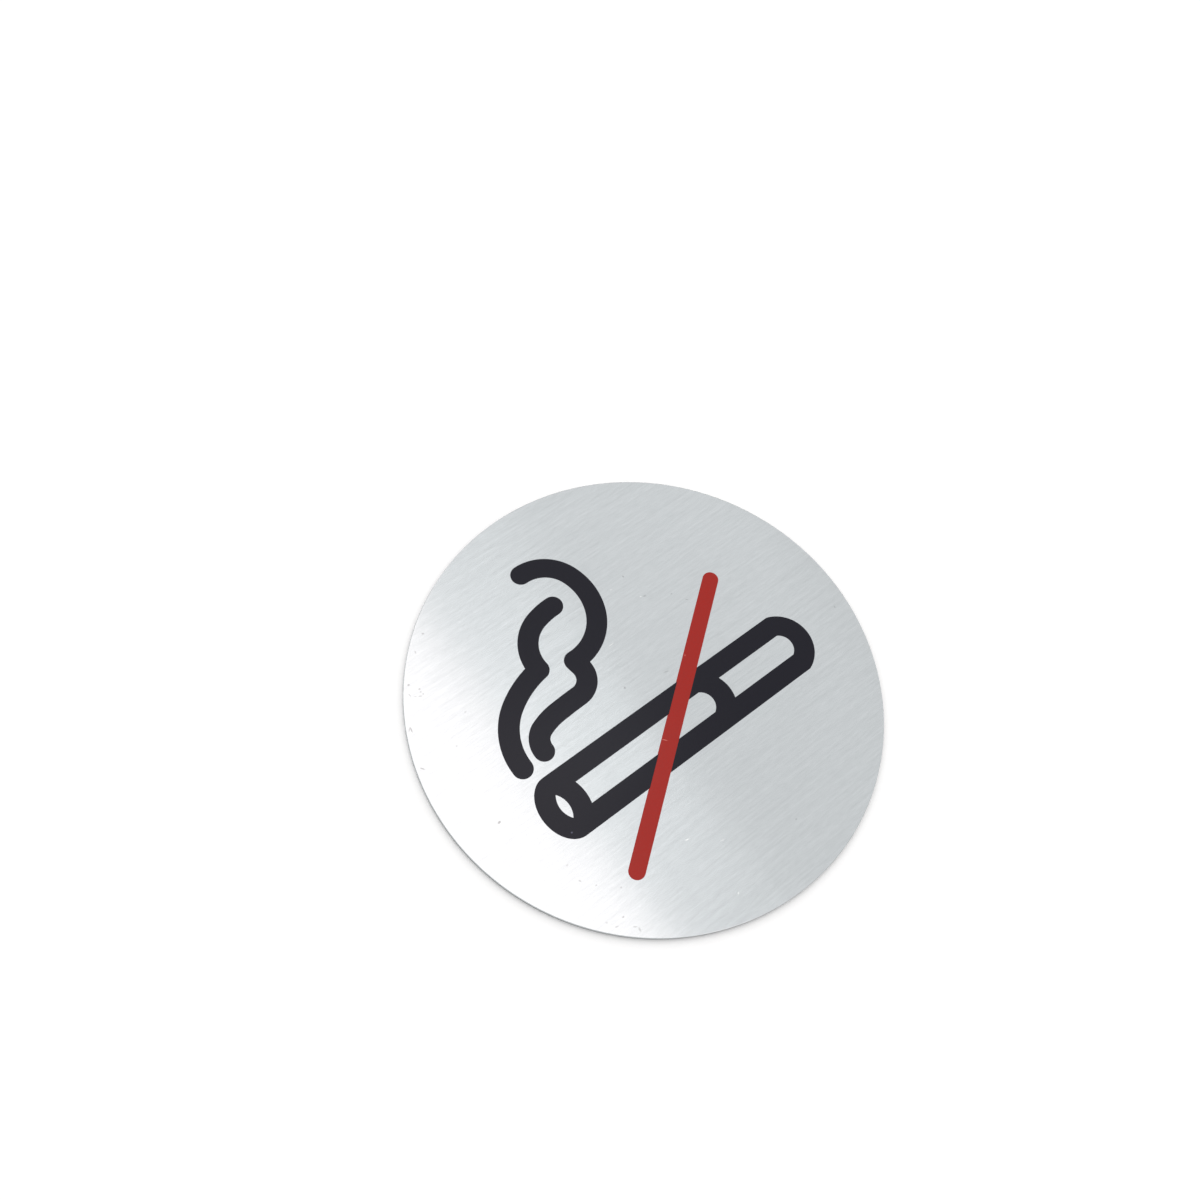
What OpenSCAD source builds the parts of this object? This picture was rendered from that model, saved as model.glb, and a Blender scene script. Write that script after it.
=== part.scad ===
// No smoking sign: a round brushed metal disc with a printed pictogram on its front
// and a self-adhesive pad under a split release liner on its back.
// It lies on its back: X runs along the printed cigarette, Y up the sign, Z out of its face,
// and the origin is the centre of the liner's back.

/* [Disc] */
// Diameter of the metal disc
disc_d = 75; // [50:1:150]
// Thickness of the metal
disc_t = 0.5; // [0.3:0.1:1.5]
// Radius of the front edge that the punch rolls over
edge_roll = 0.12; // [0.04:0.02:0.14]

/* [Back] */
// How far the pad and the liner stay inside the disc's edge
pad_inset = 1; // [0.5:0.1:3]
// Thickness of the adhesive pad
adhesive_t = 0.15; // [0.1:0.05:0.5]
// Thickness of the release liner
liner_t = 0.1; // [0.08:0.01:0.2]
// Height above the centre at which the liner is slit, for a 75 mm disc
slit_y = 12; // [5:1:25]
// Width of the slit
slit_w = 0.15; // [0.1:0.05:0.5]

/* [Print, for a 75 mm disc] */
// Thickness of the ink
ink_t = 0.03; // [0.02:0.01:0.08]
// How far the black laps over the red where they cross
ink_lap = 0.15; // [0.05:0.05:0.4]

/* [Cigarette] */
// Centre of the cigarette, across the disc from its centre
cigarette_x = 1.1; // [-1:0.1:3]
// Centre of the cigarette, up the disc from its centre
cigarette_y = -6.66; // [-8:0.02:-6.3]
// Length over both ends
cigarette_len = 53.1; // [46:0.1:56]
// Height over both edges
cigarette_h = 10.74; // [10:0.02:10.8]
// Width of the line that draws it
cigarette_line = 3.37; // [2.5:0.01:3.6]
// Outer radius of the bowed filter end and of the band where the filter begins
bow_r = 5.66; // [5.4:0.02:6]
// Distance from that band to the filter end
filter_len = 16.64; // [12:0.02:20]
// Width of the oval burning end
ember_w = 7.8; // [6:0.1:9]
// Width of the pointed slot in the burning end
ember_slot_w = 1.45; // [1:0.05:2]
// Height of that slot from point to point
ember_slot_h = 4.3; // [3.5:0.1:5]

/* [Smoke] */
// Width of the two smoke lines
smoke_line = 3.3; // [2.4:0.1:3.4]
// Kink of the left line, across from the disc's centre
left_kink_x = -11.5; // [-12:0.1:-11.3]
// Kink of the left line, up from the disc's centre
left_kink_y = 12.8; // [12.4:0.1:13.5]
// Kink of the right line, across from the disc's centre
right_kink_x = -6.1; // [-6.3:0.1:-5]
// Kink of the right line, up from the disc's centre
right_kink_y = 10.8; // [10.4:0.1:11.5]

/* [Slash] */
// Centre of the bar, across from the disc's centre
slash_x = 0.87; // [-1:0.01:3]
// Centre of the bar, up from the disc's centre
slash_y = -5.7; // [-8:0.1:-4]
// Length over its round ends
slash_len = 52.2; // [45:0.1:56]
// Width of the bar
slash_w = 2.6; // [2:0.1:4]
// Tilt of the bar to the cigarette
slash_tilt = 36.9; // [30:0.1:45]

/* [Hidden] */
$fn = 180;

disc_r = disc_d / 2;
pad_r = disc_r - pad_inset;
adhesive_z = liner_t;
disc_z = adhesive_z + adhesive_t;
ink_z = disc_z + disc_t;

// The print and the slit are drawn for a 75 mm disc and scaled to fit another
print_scale = disc_d / 75;
slit_at = slit_y * print_scale;

// The cigarette's main places along its length
ember_x = cigarette_x - cigarette_len / 2 + ember_w / 2;
filter_x = cigarette_x + cigarette_len / 2 - bow_r;
band_x = filter_x - filter_len;
window_h = cigarette_h - 2 * cigarette_line;

// The smoke lines run down and up from their kinks: a heading in degrees, then arcs as
// [radius, turn], each tangent to the last, where a turn to the left is positive
left_down = [187.7, [[16.8, 25.4], [10.2, 57.4]]];
left_up = [95.3, [[6.5, -79], [12.8, -16.7]]];
right_down = [276.6, [[21.7, 3.3], [3.2, -99], [80.6, 3.2], [11.5, 17], [3.1, 70.8]]];
right_up = [357.3, [[8.4, 67.2], [9.7, 45], [6.6, 71.8]]];

// Degrees between the points along a smoke line and round its ends
run_step = 3;
end_step = 9;

// Extra length that a cutting shape runs past what it cuts
past = 1;

// Radius of the two arcs that enclose the pointed slot
ember_slot_r = (ember_slot_w * ember_slot_w + ember_slot_h * ember_slot_h) / (4 * ember_slot_w);

function ellipse_points(width, height, steps = 96) =
    [for (k = [0 : steps - 1]) [width * cos(360 * k / steps), height * sin(360 * k / steps)] / 2];

// Where an arc's centre lies, and a point on a line beside the arc: offset is to its left
function arc_centre(at, heading, arc) =
    at + sign(arc[1]) * arc[0] * [-sin(heading), cos(heading)];
function arc_point(at, heading, arc, offset, share) =
    let (angle = heading - 90 * sign(arc[1]) + arc[1] * share)
    arc_centre(at, heading, arc) + (arc[0] - sign(arc[1]) * offset) * [cos(angle), sin(angle)];

// A run of tangent arcs: the points along one side of it, and where and how it ends
function run_side(at, heading, arcs, offset, first = 0) =
    first == len(arcs) ? [] :
    let (
        arc = arcs[first],
        steps = ceil(abs(arc[1]) / run_step),
        last = first == len(arcs) - 1 ? steps : steps - 1
    )
    concat(
        [for (k = [0 : last]) arc_point(at, heading, arc, offset, k / steps)],
        run_side(arc_point(at, heading, arc, 0, 1), heading + arc[1], arcs, offset, first + 1)
    );
function run_end(at, heading, arcs, first = 0) =
    first == len(arcs) ? [at, heading] :
    run_end(arc_point(at, heading, arcs[first], 0, 1), heading + arcs[first][1], arcs, first + 1);

// Points round a circle between two angles, without the two ends
function round_points(at, radius, from, to) =
    let (steps = ceil((to - from) / end_step))
    [for (k = [1 : steps - 1])
        let (angle = from + (to - from) * k / steps)
        at + radius * [cos(angle), sin(angle)]];

function reversed(list) = [for (k = [len(list) - 1 : -1 : 0]) list[k]];

// One run of a smoke line, square at its start and round at its end
function run_outline(at, run) =
    let (end = run_end(at, run[0], run[1]))
    concat(
        run_side(at, run[0], run[1], -smoke_line / 2),
        round_points(end[0], smoke_line / 2, end[1] - 90, end[1] + 90),
        reversed(run_side(at, run[0], run[1], smoke_line / 2))
    );

// The round corner outside a kink, from the left side of the second run to the right side of
// the first, with its root inside both runs
function kink_outline(at, first, second) =
    let (between = (first[0] + second[0]) / 2)
    concat(
        [at + smoke_line / 4 * [cos(between), sin(between)]],
        [run_side(at, second[0], second[1], smoke_line / 2)[0]],
        round_points(at, smoke_line / 2, second[0] + 90, first[0] + 270),
        [run_side(at, first[0], first[1], -smoke_line / 2)[0]]
    );

// A smoke line: two runs from a kink, where the second heading is the larger and the kink is
// sharp between them and round outside
module smoke_outline(kink, first, second) {
    polygon(run_outline(kink, first));
    polygon(run_outline(kink, second));
    polygon(kink_outline(kink, first, second));
}

// The cigarette is drawn along X and then moved up to its place

// A round end, cut off level with a strip of the given height
module bow(x, radius, height) {
    translate([x, 0])
        intersection() {
            circle(r = radius);
            square([2 * radius, height], center = true);
        }
}

// A straight stretch between two places along the cigarette
module stretch(from, to, height) {
    translate([from, -height / 2]) square([to - from, height]);
}

module ember_oval() {
    translate([ember_x, 0]) polygon(ellipse_points(ember_w, cigarette_h));
}

module ember_slot() {
    offset_x = ember_slot_r - ember_slot_w / 2;
    intersection() {
        translate([ember_x + offset_x, 0]) circle(r = ember_slot_r);
        translate([ember_x - offset_x, 0]) circle(r = ember_slot_r);
    }
}

module tobacco_window() {
    difference() {
        union() {
            stretch(ember_x, band_x, window_h);
            bow(band_x, bow_r - cigarette_line, window_h);
        }
        ember_oval();
    }
}

module filter_window() {
    difference() {
        union() {
            stretch(band_x, filter_x, window_h);
            bow(filter_x, bow_r - cigarette_line, window_h);
        }
        translate([band_x, 0]) circle(r = bow_r);
    }
}

module cigarette_outline() {
    translate([0, cigarette_y])
        difference() {
            union() {
                ember_oval();
                stretch(ember_x, filter_x, cigarette_h);
                bow(filter_x, bow_r, cigarette_h);
            }
            ember_slot();
            tobacco_window();
            filter_window();
        }
}

module slash_outline() {
    straight = slash_len - slash_w;
    translate([slash_x, slash_y])
        rotate(slash_tilt) {
            square([straight, slash_w], center = true);
            for (end = [-1, 1])
                translate([end * straight / 2, 0]) circle(d = slash_w);
        }
}

// The strip left free of black, narrower than the bar where the black laps over it
module slash_gap() {
    translate([slash_x, slash_y])
        rotate(slash_tilt)
            translate([-slash_len / 2 - past, -slash_w / 2])
                square([slash_len + 2 * past, slash_w - ink_lap]);
}

module black_cigarette() {
    difference() {
        cigarette_outline();
        slash_gap();
    }
}

// Ink on the front, scaled to the disc
module ink() {
    translate([0, 0, ink_z])
        linear_extrude(ink_t)
            scale(print_scale)
                children();
}

// The liner above or below its slit
module liner_side(low, high) {
    intersection() {
        cylinder(r = pad_r, h = liner_t);
        translate([-disc_r, low, -past]) cube([disc_d, high - low, liner_t + 2 * past]);
    }
}

module metal_disc() {
    color("silver")
        translate([0, 0, disc_z])
            rotate_extrude() {
                square([disc_r - edge_roll, disc_t]);
                square([disc_r, disc_t - edge_roll]);
                translate([disc_r - edge_roll, disc_t - edge_roll]) circle(r = edge_roll);
            }
}

module cigarette_print() {
    color("#2b2a2f") ink() black_cigarette();
}

module smoke_print_left() {
    color("#2b2a2f") ink() smoke_outline([left_kink_x, left_kink_y], left_up, left_down);
}

module smoke_print_right() {
    color("#2b2a2f") ink() smoke_outline([right_kink_x, right_kink_y], right_down, right_up);
}

module slash_print() {
    color("#a5362e")
        ink()
            difference() {
                slash_outline();
                black_cigarette();
            }
}

module adhesive_pad() {
    color("gainsboro") translate([0, 0, adhesive_z]) cylinder(r = pad_r, h = adhesive_t);
}

module liner_large() {
    color("ivory") liner_side(-disc_r, slit_at - slit_w / 2);
}

module liner_small() {
    color("ivory") liner_side(slit_at + slit_w / 2, disc_r);
}

metal_disc();
cigarette_print();
smoke_print_left();
smoke_print_right();
slash_print();
adhesive_pad();
liner_large();
liner_small();
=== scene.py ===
import math

import bmesh
import bpy
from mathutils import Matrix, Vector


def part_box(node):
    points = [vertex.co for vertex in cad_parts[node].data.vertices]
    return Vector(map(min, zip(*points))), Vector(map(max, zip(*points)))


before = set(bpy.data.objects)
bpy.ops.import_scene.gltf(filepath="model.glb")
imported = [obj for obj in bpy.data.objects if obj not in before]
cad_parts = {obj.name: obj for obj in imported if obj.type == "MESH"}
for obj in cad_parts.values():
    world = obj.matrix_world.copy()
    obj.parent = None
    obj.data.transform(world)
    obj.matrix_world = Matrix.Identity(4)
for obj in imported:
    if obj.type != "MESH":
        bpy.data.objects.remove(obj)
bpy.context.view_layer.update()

# A round no smoking sign of hairline-brushed steel, lying on a white table. X runs along the
# printed cigarette and the brushing, Y up the sign, and Z out of its printed face.
mm = 0.001  # m
discLow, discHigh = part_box("metal_disc")
discRadius = discHigh.x
face = discHigh.z


def hexColour(code):
    # an sRGB hex value as the linear colour that a socket takes
    parts = [int(code[i:i + 2], 16) / 255 for i in (1, 3, 5)]
    return [p / 12.92 if p < 0.04045 else ((p + 0.055) / 1.055) ** 2.4 for p in parts] + [1]


def addNode(tree, kind, settings, links):
    # links gives each input a number, a colour or another node's output
    node = tree.nodes.new(kind)
    for name, value in settings.items():
        setattr(node, name, value)
    for name, value in links.items():
        if isinstance(value, bpy.types.NodeSocket):
            tree.links.new(value, node.inputs[name])
        else:
            node.inputs[name].default_value = value
    return node


def startMaterial(name):
    material = bpy.data.materials.new(name)
    material.use_nodes = True
    tree = material.node_tree
    tree.nodes.clear()
    place = addNode(tree, "ShaderNodeTexCoord", {}, {}).outputs["Object"]
    return material, tree, place


def endMaterial(tree, finish):
    shader = addNode(tree, "ShaderNodeBsdfPrincipled", {}, finish)
    addNode(tree, "ShaderNodeOutputMaterial", {}, {"Surface": shader.outputs[0]})


def dress(node, material):
    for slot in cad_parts[node].material_slots:
        slot.material = material


# Camera: held over the sign's lower left, about 200 mm from it
cameraLook = {
    "place": (-69.35, -38.15, 185.28),  # mm, from the middle of the disc's face
    "turn": (25.308, -7.131, -38.381),  # degrees
    "lens": 39.0,  # mm
    "sensor": 36.0,  # mm
    "near": 10,  # mm
    "far": 20000,  # mm
}


def setCamera(look):
    data = bpy.data.cameras.new("camera")
    data.lens = look["lens"]
    data.sensor_width = look["sensor"]
    data.clip_start = look["near"] * mm
    data.clip_end = look["far"] * mm
    camera = bpy.data.objects.new("camera", data)
    x, y, z = look["place"]
    camera.location = (x * mm, y * mm, z * mm + face)
    camera.rotation_euler = [math.radians(angle) for angle in look["turn"]]
    bpy.context.scene.collection.objects.link(camera)
    bpy.context.scene.camera = camera


setCamera(cameraLook)
print("camera set")

# Light: a pale room, lighter beyond the sign's top right. Overhead are a long soft strip, faintly
# warm, whose right side ends where the disc starts to darken, a small lamp beside it that lifts
# the disc's middle, and a faint panel for its upper part
lightLook = {
    "height": 1.0,  # m over the table
    # each lamp's middle and size in m, its turn in degrees, and its radiance, where 1 is white
    "strip": {
        "centre": (0.16, 0.45), "size": (0.159, 2.0), "turn": 0, "radiance": 0.74, "colour": "#fff3f1",
    },
    "panel": {
        "centre": (0.34, 0.48), "size": (0.60, 0.5), "turn": -15, "radiance": 0.1, "colour": "#ffffff",
    },
    "bulb": {
        "centre": (0.272, 0.20), "size": (0.16, 0.12), "turn": 0, "radiance": 1.15, "colour": "#ffffff",
    },
    "room": 0.97,  # strength of the world as light, though what is seen of it is plain white
    "roomSlope": 0.6,  # how much of that it gains towards its light side and loses opposite
    "lightSide": (0.54, 0.84, 0),  # the way towards it
}


def setLamp(name, lamp, height):
    data = bpy.data.lights.new(name, "AREA")
    data.shape = "RECTANGLE"
    data.size, data.size_y = lamp["size"]
    # an area lamp's radiance is its energy over four times its area
    data.energy = 4 * lamp["radiance"] * data.size * data.size_y
    data.color = hexColour(lamp["colour"])[:3]
    panel = bpy.data.objects.new(name, data)
    panel.location = (*lamp["centre"], height)
    panel.rotation_euler = (0, 0, math.radians(lamp["turn"]))
    bpy.context.scene.collection.objects.link(panel)


def seenRays(tree):
    # 1 on a ray that the eye, a reflection or clear glass sees, and 0 on one that only lights
    path = addNode(tree, "ShaderNodeLightPath", {}, {}).outputs
    seen = path["Is Camera Ray"]
    for kind in ("Is Glossy Ray", "Is Transmission Ray"):
        seen = addNode(tree, "ShaderNodeMath", {"operation": "MAXIMUM"}, {0: seen, 1: path[kind]}).outputs[0]
    return seen


def setWorld(look):
    world = bpy.data.worlds.new("room")
    world.use_nodes = True
    tree = world.node_tree
    tree.nodes.clear()
    toward = addNode(tree, "ShaderNodeTexCoord", {}, {}).outputs["Generated"]
    side = addNode(tree, "ShaderNodeVectorMath", {"operation": "DOT_PRODUCT"}, {
        0: toward, 1: look["lightSide"],
    })
    low, high = (look["room"] * (1 + sign * look["roomSlope"]) for sign in (-1, 1))
    light = addNode(tree, "ShaderNodeMapRange", {}, {
        "Value": side.outputs["Value"], "From Min": -1, "From Max": 1, "To Min": low, "To Max": high,
    })
    strength = addNode(tree, "ShaderNodeMapRange", {}, {
        "Value": seenRays(tree), "To Min": light.outputs[0], "To Max": 1,
    })
    room = addNode(tree, "ShaderNodeBackground", {}, {
        "Color": hexColour("#ffffff"), "Strength": strength.outputs[0],
    })
    addNode(tree, "ShaderNodeOutputWorld", {}, {"Surface": room.outputs[0]})
    bpy.context.scene.world = world
    bpy.context.scene.view_settings.view_transform = "Standard"


for name in ("strip", "panel", "bulb"):
    setLamp(name, lightLook[name], lightLook["height"])
setWorld(lightLook)
print("light set")

# Floor: a white table, open under the liner so that the back can be looked at from below
floorLook = {
    "colour": "#f6f6f6",
    "lift": 0.11,  # white added where the floor is seen
    "radius": 3.0,  # m
    "hole": 0.0364,  # m, radius, just inside the liner's edge so that no light leaks in there
    "segments": 96,
    "below": 0.02,  # mm under the liner
    "fadeFrom": 0.12,  # m, the table goes over into plain white between these distances
    "fadeTo": 0.30,
}


def makeFloor(look):
    mesh = bmesh.new()
    for radius in (look["hole"], look["radius"]):
        bmesh.ops.create_circle(mesh, segments=look["segments"], radius=radius)
    bmesh.ops.bridge_loops(mesh, edges=mesh.edges[:])
    bmesh.ops.translate(mesh, vec=(0, 0, -look["below"] * mm), verts=mesh.verts)
    bmesh.ops.recalc_face_normals(mesh, faces=mesh.faces)
    mesh.faces.ensure_lookup_table()
    if mesh.faces[0].normal.z < 0:
        bmesh.ops.reverse_faces(mesh, faces=mesh.faces)
    data = bpy.data.meshes.new("floor")
    mesh.to_mesh(data)
    mesh.free()
    floor = bpy.data.objects.new("floor", data)
    bpy.context.scene.collection.objects.link(floor)
    floor.data.materials.append(whiteTable(look))


def whiteTable(look):
    # Matt white laminate: even white, with nothing but the sign's soft shadow on it
    material, tree, place = startMaterial("matt_white_laminate")
    colour = hexColour(look["colour"])
    seen = seenRays(tree)
    matt = addNode(tree, "ShaderNodeBsdfDiffuse", {}, {"Color": colour})
    lift = addNode(tree, "ShaderNodeMath", {"operation": "MULTIPLY"}, {0: seen, 1: look["lift"]})
    glow = addNode(tree, "ShaderNodeEmission", {}, {"Strength": lift.outputs[0]})
    table = addNode(tree, "ShaderNodeAddShader", {}, {0: matt.outputs[0], 1: glow.outputs[0]})
    reach = addNode(tree, "ShaderNodeVectorMath", {"operation": "LENGTH"}, {0: place})
    fade = addNode(tree, "ShaderNodeMapRange", {"interpolation_type": "SMOOTHSTEP"}, {
        "Value": reach.outputs["Value"],
        "From Min": look["fadeFrom"], "From Max": look["fadeTo"],
    })
    far = addNode(tree, "ShaderNodeMath", {"operation": "MULTIPLY"}, {0: seen, 1: fade.outputs[0]})
    white = addNode(tree, "ShaderNodeEmission", {}, {"Strength": 1})
    faded = addNode(tree, "ShaderNodeMixShader", {}, {
        0: far.outputs[0], 1: table.outputs[0], 2: white.outputs[0],
    })
    # from below the table is clear
    back = addNode(tree, "ShaderNodeNewGeometry", {}, {}).outputs["Backfacing"]
    clear = addNode(tree, "ShaderNodeBsdfTransparent", {}, {})
    both = addNode(tree, "ShaderNodeMixShader", {}, {0: back, 1: faded.outputs[0], 2: clear.outputs[0]})
    addNode(tree, "ShaderNodeOutputMaterial", {}, {"Surface": both.outputs[0]})
    return material


makeFloor(floorLook)
print("floor made")


def streaks(tree, place, sizes):
    # noise drawn out along the longest of its three sizes, in mm
    drawn = addNode(tree, "ShaderNodeMapping", {"vector_type": "TEXTURE"}, {
        "Vector": place, "Scale": [size * mm for size in sizes],
    })
    noise = addNode(tree, "ShaderNodeTexNoise", {}, {
        "Vector": drawn.outputs[0], "Scale": 1, "Detail": 2, "Roughness": 0.6,
    })
    return noise.outputs[0]


# a mark fades out between these shares of its half length and half width
markFade = (0.4, 1.2)


def marks(tree, place, rows):
    # a mask of soft oval marks, each with x, y, length and width in mm, a turn and a strength
    mask = 0
    for x, y, length, width, turn, strength in rows:
        oval = addNode(tree, "ShaderNodeMapping", {"vector_type": "TEXTURE"}, {
            "Vector": place,
            "Location": (x * mm, y * mm, 0),
            "Rotation": (0, 0, math.radians(turn)),
            "Scale": (length * mm / 2, width * mm / 2, 1),
        })
        reach = addNode(tree, "ShaderNodeVectorMath", {"operation": "LENGTH"}, {0: oval.outputs[0]})
        spot = addNode(tree, "ShaderNodeMapRange", {"interpolation_type": "SMOOTHSTEP"}, {
            "Value": reach.outputs["Value"],
            "From Min": markFade[1], "From Max": markFade[0], "To Max": strength,
        })
        larger = addNode(tree, "ShaderNodeMath", {"operation": "MAXIMUM"}, {0: mask, 1: spot.outputs[0]})
        mask = larger.outputs[0]
    return mask


def mixColours(tree, mask, first, second):
    mix = addNode(tree, "ShaderNodeMix", {"data_type": "RGBA"}, {0: mask, 6: first, 7: second})
    return mix.outputs[2]


steelLook = {
    "light": "#d2d6d8",
    "dark": "#b6babc",
    "roughness": 0.2,
    "anisotropic": 1,
    # fine and broad brush lines in mm, drawn coarser than the real ones, about 0.05 mm wide
    "hairs": ((2, 0.35, 1000), (14, 0.7, 1000)),
    "broadShare": 0.5,
    "hairDepth": 0.005,  # mm
    "scuff": "#8f8f8f",
    # pale colour of dust specks, and of one painted glint along a hairline scratch
    "dustAndGlint": "#f4f4f2",
    # x, y, length and width in mm, turn in degrees, strength
    "scuffs": (
        (-29.1, 22.3, 0.45, 0.4, 0, 0.6),
        (-28.15, 20.8, 0.4, 0.35, 0, 0.5),
        (-28.25, 20.3, 0.35, 0.3, 0, 0.4),
        (-28.15, 19.85, 0.45, 0.25, 60, 0.4),
        (-28.7, 19.8, 0.7, 0.22, -35, 0.45),
        (-29.35, 20.15, 0.6, 0.22, -30, 0.35),
        (-29.9, 20.85, 0.7, 0.25, 90, 0.35),
        (-33.05, 16.4, 0.9, 0.25, 44, 0.5),
        (-32.85, 16.2, 1.1, 0.25, 76, 0.75),
        (-35.0, 10.3, 0.9, 0.25, 124, 0.7),
        (-30.7, -2.9, 0.65, 0.4, 12, 0.8),
        (-23.9, -27.3, 0.8, 0.35, 79, 0.4),
        (-24.2, -26.6, 0.7, 0.2, 143, 0.5),
        (-24.7, -24.5, 0.4, 0.3, 0, 0.55),
        (-26.3, -25.0, 0.7, 0.25, 160, 0.4),
        (-27.1, -23.7, 0.5, 0.3, 126, 0.3),
        (-26.5, -16.7, 0.5, 0.3, 125, 0.5),
        (-26.6, -13.8, 0.5, 0.3, 18, 0.3),
        (-22.5, 28.0, 0.5, 0.35, 145, 0.5),
        (-25.2, 26.1, 0.6, 0.3, 71, 0.35),
        (-24.7, 13.8, 0.5, 0.3, 0, 0.3),
        (-28.9, 10.2, 0.4, 0.35, 0, 0.3),
        (-25.0, -18.6, 0.4, 0.3, 0, 0.35),
        (-22.3, -21.0, 0.4, 0.3, 0, 0.35),
        (4.5, 1.0, 1.0, 0.3, -11, 0.3),
        (10.0, 13.1, 0.6, 0.3, -12, 0.4),
        (9.3, 17.8, 0.45, 0.3, 90, 0.45),
        (-2.5, 2.7, 0.4, 0.4, 0, 0.5),
        (5.4, -28.9, 0.4, 0.3, 0, 0.35),
        (15.2, 8.7, 0.6, 0.2, 145, 0.4),
        (13.8, 10.9, 0.4, 0.3, 0, 0.35),
        (34.4, -6.4, 0.45, 0.3, 90, 0.35),
    ),
    # pale specks of dust; the line at x 0.3, y 9.6 is a painted glint on the lit side of a hairline scratch
    "specks": (
        (-10.0, -21.4, 0.85, 0.22, 166, 0.5),
        (9.4, 13.4, 0.4, 0.3, 0, 0.4),
        (0.3, 9.6, 1.2, 0.22, 0, 0.3),
        (-5.8, -24.6, 0.8, 0.22, 165, 0.25),
        (6.2, 17.1, 0.5, 0.3, 148, 0.2),
        (-9.0, -32.0, 0.5, 0.22, 49, 0.45),
    ),
}

edgeLook = {
    "rollWidth": 0.06,  # mm inside the rim, where the side's colour begins
    "rollEnd": 0.02,  # mm inside the rim, where it is full
    "light": "#b6baba",
    "dark": "#919595",
    "drag": (0.15, 0.15, 4),  # size of a drag line in mm
    # the torn part is also the side's foot, whose colour is darkened there as painted shade
    "tornAndShaded": 0.17,  # mm, height of the torn part
    "ragged": 0.5,  # mm, length of the waves in its top
    "raggedDepth": 0.06,  # mm
    # darker than the torn steel alone: painted shade at the foot of the side, next to the table
    "tornAndShadedColour": "#6f7272",
    "tornRoughness": 0.6,
}


def edgeMasks(tree, place, look):
    # 1 on the punched side, and 1 on its lower part, where the sheet tore and where painted shade darkens
    # the foot of the side
    flat = addNode(tree, "ShaderNodeVectorMath", {"operation": "MULTIPLY"}, {0: place, 1: (1, 1, 0)})
    reach = addNode(tree, "ShaderNodeVectorMath", {"operation": "LENGTH"}, {0: flat.outputs[0]})
    side = addNode(tree, "ShaderNodeMapRange", {}, {
        "Value": reach.outputs["Value"],
        "From Min": discRadius - look["rollWidth"] * mm,
        "From Max": discRadius - look["rollEnd"] * mm,
    })
    ragged = addNode(tree, "ShaderNodeTexNoise", {}, {"Vector": place, "Scale": 1 / (look["ragged"] * mm)})
    height = addNode(tree, "ShaderNodeSeparateXYZ", {}, {"Vector": place})
    wavering = addNode(tree, "ShaderNodeMath", {"operation": "MULTIPLY_ADD"}, {
        0: ragged.outputs[0], 1: look["raggedDepth"] * mm, 2: height.outputs["Z"],
    })
    tornAndShadedTop = discLow.z + look["tornAndShaded"] * mm
    tornAndShaded = addNode(tree, "ShaderNodeMapRange", {}, {
        "Value": wavering.outputs[0],
        "From Min": tornAndShadedTop + look["raggedDepth"] * mm, "From Max": tornAndShadedTop,
    })
    tornAndShadedSide = addNode(tree, "ShaderNodeMath", {"operation": "MULTIPLY"}, {
        0: side.outputs[0], 1: tornAndShaded.outputs[0],
    })
    return side.outputs[0], tornAndShadedSide.outputs[0]


def brushedSteel(look, edge):
    # Hairline-brushed stainless steel sheet, belt-ground along X and then punched: fine parallel
    # streaks with a soft highlight drawn out across them, on a cool pale grey, and a darker side,
    # burnished with upright drag lines at its top and torn and dull below, where the colour is
    # darkened further as painted shade at the side's foot by the table
    material, tree, place = startMaterial("hairline_brushed_stainless_steel")
    side, tornAndShaded = edgeMasks(tree, place, edge)
    fine, broad = (streaks(tree, place, sizes) for sizes in look["hairs"])
    hair = addNode(tree, "ShaderNodeMix", {"data_type": "FLOAT"}, {
        0: look["broadShare"], 2: fine, 3: broad,
    }).outputs[0]
    colour = mixColours(tree, hair, hexColour(look["dark"]), hexColour(look["light"]))
    scuffs = marks(tree, place, look["scuffs"])
    colour = mixColours(tree, scuffs, colour, hexColour(look["scuff"]))
    # pale dust specks, with one painted glint along a hairline scratch
    colour = mixColours(tree, marks(tree, place, look["specks"]), colour, hexColour(look["dustAndGlint"]))
    drag = streaks(tree, place, edge["drag"])
    punched = mixColours(tree, drag, hexColour(edge["dark"]), hexColour(edge["light"]))
    # the torn foot of the side, its colour darkened partly as painted shade
    punched = mixColours(tree, tornAndShaded, punched, hexColour(edge["tornAndShadedColour"]))
    colour = mixColours(tree, side, colour, punched)
    roughness = addNode(tree, "ShaderNodeMapRange", {}, {
        "Value": tornAndShaded, "To Min": look["roughness"], "To Max": edge["tornRoughness"],
    })
    relief = addNode(tree, "ShaderNodeMix", {"data_type": "FLOAT"}, {0: side, 2: hair, 3: drag})
    bump = addNode(tree, "ShaderNodeBump", {}, {
        "Height": relief.outputs[0], "Distance": look["hairDepth"] * mm, "Strength": 1,
    })
    # the highlight is drawn out along Y on the face and round the disc on its side
    around = addNode(tree, "ShaderNodeVectorMath", {"operation": "CROSS_PRODUCT"}, {0: (0, 0, 1), 1: place})
    around = addNode(tree, "ShaderNodeVectorMath", {"operation": "NORMALIZE"}, {0: around.outputs[0]})
    across = addNode(tree, "ShaderNodeMix", {"data_type": "VECTOR"}, {
        0: side, 4: (0, 1, 0), 5: around.outputs[0],
    })
    across = addNode(tree, "ShaderNodeVectorTransform", {
        "vector_type": "VECTOR", "convert_from": "OBJECT", "convert_to": "WORLD",
    }, {"Vector": across.outputs[1]})
    endMaterial(tree, {
        "Base Color": colour,
        "Metallic": 1,
        "Roughness": roughness.outputs[0],
        "Anisotropic": look["anisotropic"],
        "Tangent": across.outputs[0],
        "Normal": bump.outputs[0],
    })
    return material


dress("metal_disc", brushedSteel(steelLook, edgeLook))
print("steel finished")

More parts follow.
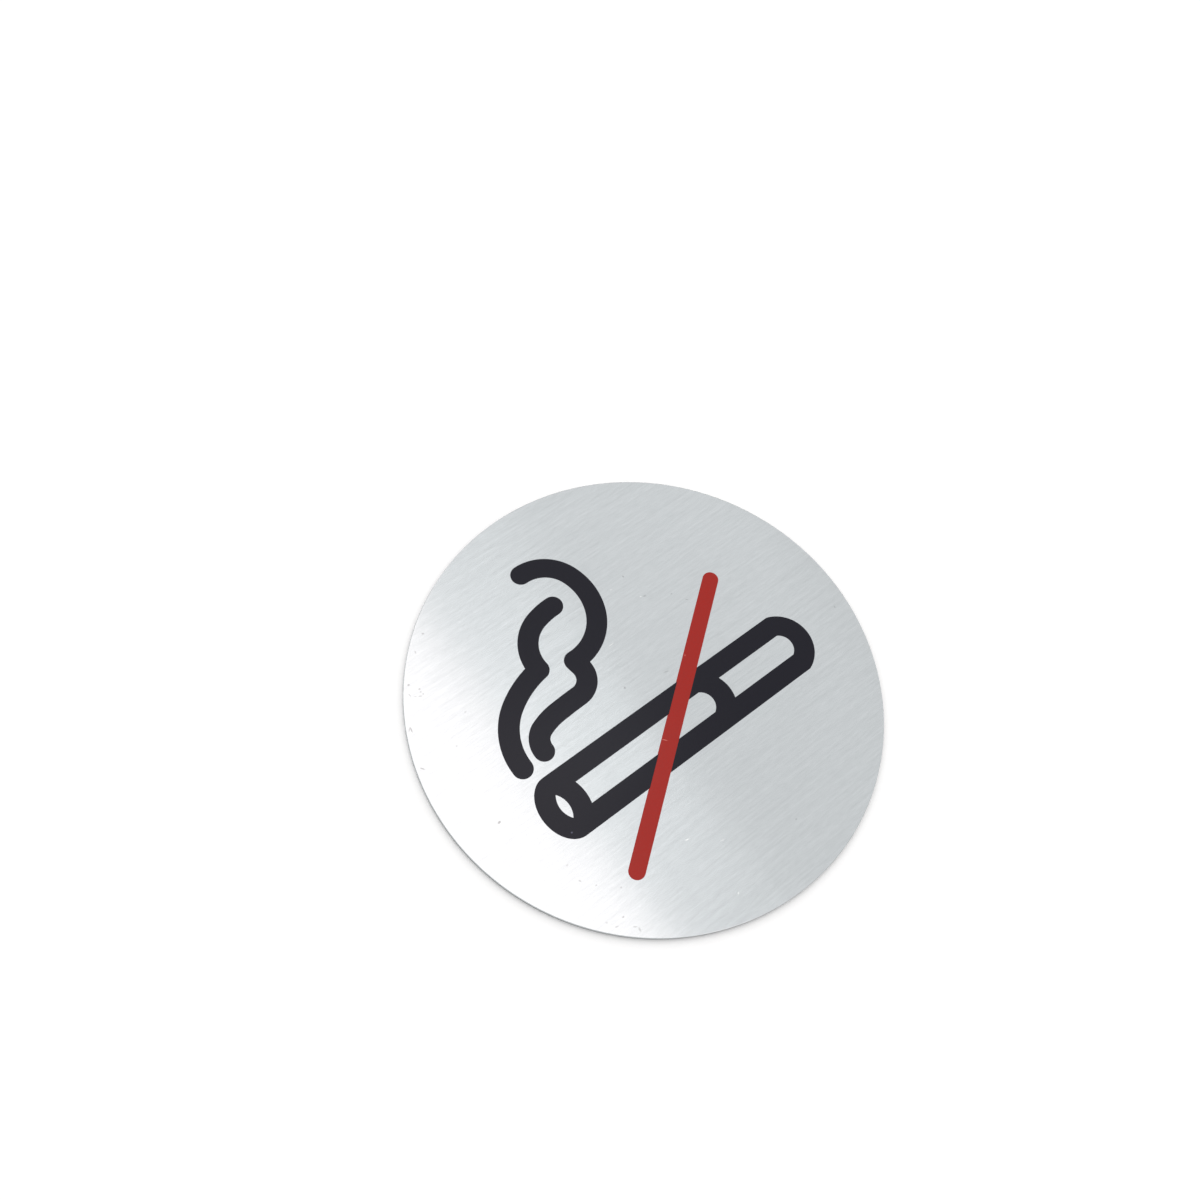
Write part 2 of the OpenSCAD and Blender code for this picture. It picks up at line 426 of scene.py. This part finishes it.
# The film that both inks form
filmLook = {
    "patch": 0.7,  # mm, size of the film's faint thick and thin patches
    "roughness": 0.19,
    "roughnessSpread": 0.02,  # how much rougher or smoother a patch is
    "specular": 0.235,
    "hair": (4.5, 0.25, 1000),  # mm, the brush lines that show through, drawn coarser too
    "hairDepth": 0.002,  # mm
}

# Each ink's colour where it is thick and thin, and its nicks, listed as the scuffs are
blackLook = {
    "thick": "#070616",
    "thin": "#0b0a19",
    "nick": "#6b6c80",
    "nicks": ((-23.1, -10.4, 0.35, 0.3, 0, 0.6),),
}

redLook = {
    "thick": "#a11b10",
    "thin": "#9a1d13",
    "nick": "#e0857a",
    "nicks": ((-2.85, -7.5, 1.0, 0.15, -50, 0.65), (8.7, 1.4, 0.35, 0.3, 0, 0.35)),
}


def screenInk(name, look, film):
    # Screen-printed enamel ink: an even satin film, faintly patchy from the mesh, that follows the
    # brushed steel under it
    material, tree, place = startMaterial(name)
    patch = addNode(tree, "ShaderNodeTexNoise", {}, {
        "Vector": place, "Scale": 1 / (film["patch"] * mm), "Detail": 1,
    })
    colour = mixColours(tree, patch.outputs[0], hexColour(look["thick"]), hexColour(look["thin"]))
    colour = mixColours(tree, marks(tree, place, look["nicks"]), colour, hexColour(look["nick"]))
    roughness = addNode(tree, "ShaderNodeMapRange", {}, {
        "Value": patch.outputs[0],
        "To Min": film["roughness"] - film["roughnessSpread"],
        "To Max": film["roughness"] + film["roughnessSpread"],
    })
    bump = addNode(tree, "ShaderNodeBump", {}, {
        "Height": streaks(tree, place, film["hair"]), "Distance": film["hairDepth"] * mm, "Strength": 1,
    })
    endMaterial(tree, {
        "Base Color": colour,
        "Roughness": roughness.outputs[0],
        "Specular IOR Level": film["specular"],
        "Normal": bump.outputs[0],
    })
    return material


blackInk = screenInk("black_screen_print_ink", blackLook, filmLook)
for node in ("cigarette_print", "smoke_print_left", "smoke_print_right"):
    dress(node, blackInk)
dress("slash_print", screenInk("red_screen_print_ink", redLook, filmLook))
print("print finished")

padLook = {
    "milk": "#e9e9e3",
    "bubble": "#d8d8d0",
    "bubbleSize": 0.35,  # mm, drawn coarser than the real 0.1 mm
    "bubbleDepth": 0.01,  # mm
    "roughness": 0.38,
}


def adhesivePad(look):
    # Double-sided acrylic adhesive on a thin foam: milky, tacky and faintly dappled by its cells
    material, tree, place = startMaterial("acrylic_foam_adhesive")
    cells = addNode(tree, "ShaderNodeTexVoronoi", {"feature": "SMOOTH_F1"}, {
        "Vector": place, "Scale": 1 / (look["bubbleSize"] * mm),
    }).outputs["Distance"]
    bump = addNode(tree, "ShaderNodeBump", {}, {
        "Height": cells, "Distance": look["bubbleDepth"] * mm, "Strength": 1,
    })
    endMaterial(tree, {
        "Base Color": mixColours(tree, cells, hexColour(look["bubble"]), hexColour(look["milk"])),
        "Roughness": look["roughness"],
        "Normal": bump.outputs[0],
    })
    return material


dress("adhesive_pad", adhesivePad(padLook))

linerLook = {
    "paper": "#ece7d8",
    "cloud": "#ddd4bc",
    "cloudSize": 5,  # mm
    "fibre": "#c9bea2",
    "fibreSize": (1.6, 0.12, 1),  # mm, drawn wider than real fibres, about 0.03 mm
    "fibreTurns": (0, 55, -65),  # degrees
    "fibreFrom": 0.6,  # the pulp's noise shows as fibres between these values
    "fibreTo": 0.78,
    "fibreStrength": 0.7,
    "pulpDepth": 0.006,  # mm
    "roughness": 0.5,
    "glaze": 0.25,
    "glazeRoughness": 0.3,
}


def releasePaper(look):
    # Glazed kraft release paper: pale straw, with cloudy pulp and short fibres in all directions
    # under a smooth, faintly shining skin
    material, tree, place = startMaterial("glazed_release_paper")
    cloud = addNode(tree, "ShaderNodeTexNoise", {}, {
        "Vector": place, "Scale": 1 / (look["cloudSize"] * mm), "Detail": 3,
    })
    colour = mixColours(tree, cloud.outputs[0], hexColour(look["cloud"]), hexColour(look["paper"]))
    pulp = 0
    for turn in look["fibreTurns"]:
        turned = addNode(tree, "ShaderNodeMapping", {"vector_type": "TEXTURE"}, {
            "Vector": place, "Rotation": (0, 0, math.radians(turn)),
        })
        pulp = addNode(tree, "ShaderNodeMath", {"operation": "MAXIMUM"}, {
            0: pulp, 1: streaks(tree, turned.outputs[0], look["fibreSize"]),
        }).outputs[0]
    fibre = addNode(tree, "ShaderNodeMapRange", {}, {
        "Value": pulp,
        "From Min": look["fibreFrom"], "From Max": look["fibreTo"], "To Max": look["fibreStrength"],
    })
    colour = mixColours(tree, fibre.outputs[0], colour, hexColour(look["fibre"]))
    bump = addNode(tree, "ShaderNodeBump", {}, {
        "Height": pulp, "Distance": look["pulpDepth"] * mm, "Strength": 1,
    })
    endMaterial(tree, {
        "Base Color": colour,
        "Roughness": look["roughness"],
        "Coat Weight": look["glaze"],
        "Coat Roughness": look["glazeRoughness"],
        "Normal": bump.outputs[0],
    })
    return material


linerPaper = releasePaper(linerLook)
for node in ("liner_large", "liner_small"):
    dress(node, linerPaper)
print("back finished")
